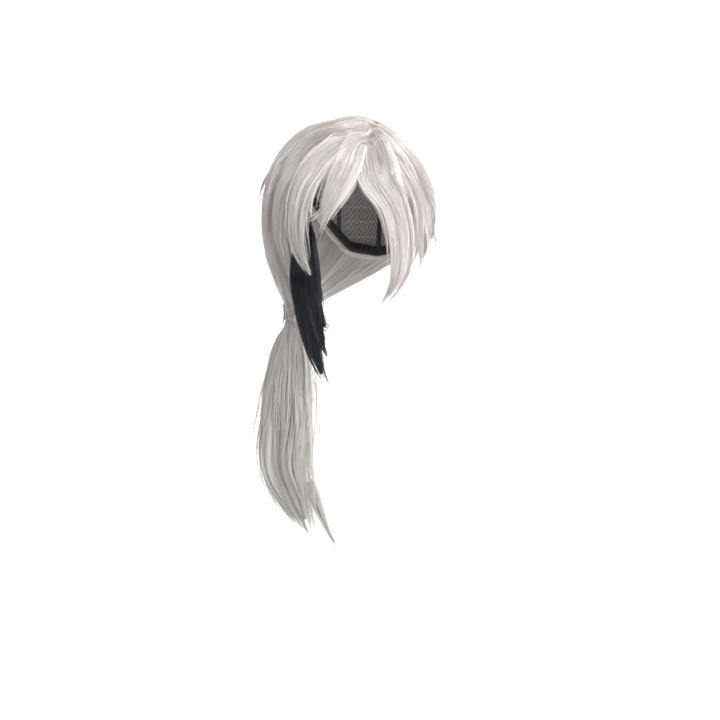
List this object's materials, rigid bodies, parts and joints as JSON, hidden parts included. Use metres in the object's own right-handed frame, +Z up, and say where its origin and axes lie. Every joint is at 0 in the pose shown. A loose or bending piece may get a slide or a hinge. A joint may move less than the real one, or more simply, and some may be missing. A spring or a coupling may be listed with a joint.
{
  "type": "costume wig",
  "caption": "Costume wig on a net cap: layered white bob with a pointed fringe, a black under-layer lock and a long low side tail held by an elastic tie.",
  "frame": {"origin": "middle of the head that the cap fits, at brow height", "axes": "+Z up towards the crown, -Y towards the face, +X towards the wearer's left"},
  "size_m": [0.2473, 0.2548, 0.5617],
  "materials": {
    "cap_net": "open stretch net",
    "cap_band": "soft stretch lace band",
    "skin_patch": "fine monofilament gauze",
    "boning": "matte",
    "rib_elastic": "ribbed elastic",
    "weft_stitch": "stitched weft head",
    "strap_elastic": "ribbed elastic",
    "hook_plastic": "satin",
    "white_fibre": "silky synthetic fibre",
    "black_fibre": "silky synthetic fibre",
    "tie_elastic": "covered elastic cord"
  },
  "bodies": {
    "cap": {"crown_net": "cap_net", "top_net": "cap_net", "back_net": "cap_net", "side_net_left": "cap_net", "side_net_right": "cap_net", "parting_patch": "skin_patch", "front_band": "cap_band", "nape_band": "cap_band", "ear_tab_left": "cap_band", "ear_tab_right": "cap_band", "ear_stay_left": "boning", "ear_stay_right": "boning", "ear_binding_left": "cap_band", "ear_binding_right": "cap_band", "cap_ribs": "rib_elastic", "crown_weft": "weft_stitch", "weft_row_1": "weft_stitch", "weft_row_2": "weft_stitch", "weft_row_3": "weft_stitch", "weft_row_4": "weft_stitch", "weft_row_5": "weft_stitch", "weft_row_6": "weft_stitch", "weft_row_7": "weft_stitch", "weft_row_8": "weft_stitch", "strap_left": "strap_elastic", "strap_right": "strap_elastic", "loop_tape_left": "strap_elastic", "loop_tape_right": "strap_elastic", "crown_hair": "white_fibre", "front_hair": "white_fibre", "side_hair_left": "white_fibre", "side_hair_right": "white_fibre", "back_hair_upper": "white_fibre", "back_hair_lower": "white_fibre", "side_lock_left": "white_fibre", "flick_left": "white_fibre", "fringe_right_outer": "white_fibre", "side_lock_right_front": "white_fibre", "side_lock_right_rear": "white_fibre", "flick_right": "white_fibre", "nape_sweep_left": "white_fibre", "nape_sweep_right": "white_fibre", "back_lock_1": "white_fibre", "back_lock_2": "white_fibre", "back_lock_3": "white_fibre", "back_lock_4": "white_fibre"},
    "fringe_point": {"fringe_point": "white_fibre"},
    "fringe_right": {"fringe_right_inner": "white_fibre"},
    "face_lock_left": {"face_lock_left": "white_fibre"},
    "black_lock": {"black_lock": "black_fibre"},
    "tail_knot": {"hair_knot": "white_fibre", "hair_tie": "tie_elastic"},
    "tail": {"tail_hair": "white_fibre", "tail_wisp": "white_fibre"},
    "strap_hook_left": {"hook_left": "hook_plastic"},
    "strap_hook_right": {"hook_right": "hook_plastic"}
  },
  "joints": [
    {"name": "fringe_point_lift", "type": "hinge", "parent": "cap", "child": "fringe_point", "pos_m": [0.018, -0.09, 0.055], "axis": [-1, 0, 0], "range_deg": [0, 40]},
    {"name": "fringe_right_lift", "type": "hinge", "parent": "cap", "child": "fringe_right", "pos_m": [-0.008, -0.095, 0.05], "axis": [-1, 0, 0], "range_deg": [0, 35]},
    {"name": "face_lock_lift", "type": "hinge", "parent": "cap", "child": "face_lock_left", "pos_m": [0.038, -0.079, 0.051], "axis": [-1, 0, 0], "range_deg": [0, 35]},
    {"name": "black_lock_swing", "type": "hinge", "parent": "cap", "child": "black_lock", "pos_m": [-0.047, -0.0716, -0.024], "axis": [0, 1, 0], "range_deg": [-12, 12]},
    {"name": "tail_fore_aft", "type": "hinge", "parent": "cap", "child": "tail_knot", "pos_m": [-0.106, 0.046, -0.144], "axis": [1, 0, 0], "range_deg": [-20, 20]},
    {"name": "tail_side", "type": "hinge", "parent": "tail_knot", "child": "tail", "pos_m": [-0.106, 0.046, -0.15], "axis": [0, 1, 0], "range_deg": [-20, 25]},
    {"name": "strap_hook_left_slide", "type": "slide", "parent": "cap", "child": "strap_hook_left", "axis": [-0.88, 0.475, 0], "range_m": [0, 0.006]},
    {"name": "strap_hook_right_slide", "type": "slide", "parent": "cap", "child": "strap_hook_right", "axis": [0.88, 0.475, 0], "range_m": [0, 0.006]}
  ]
}
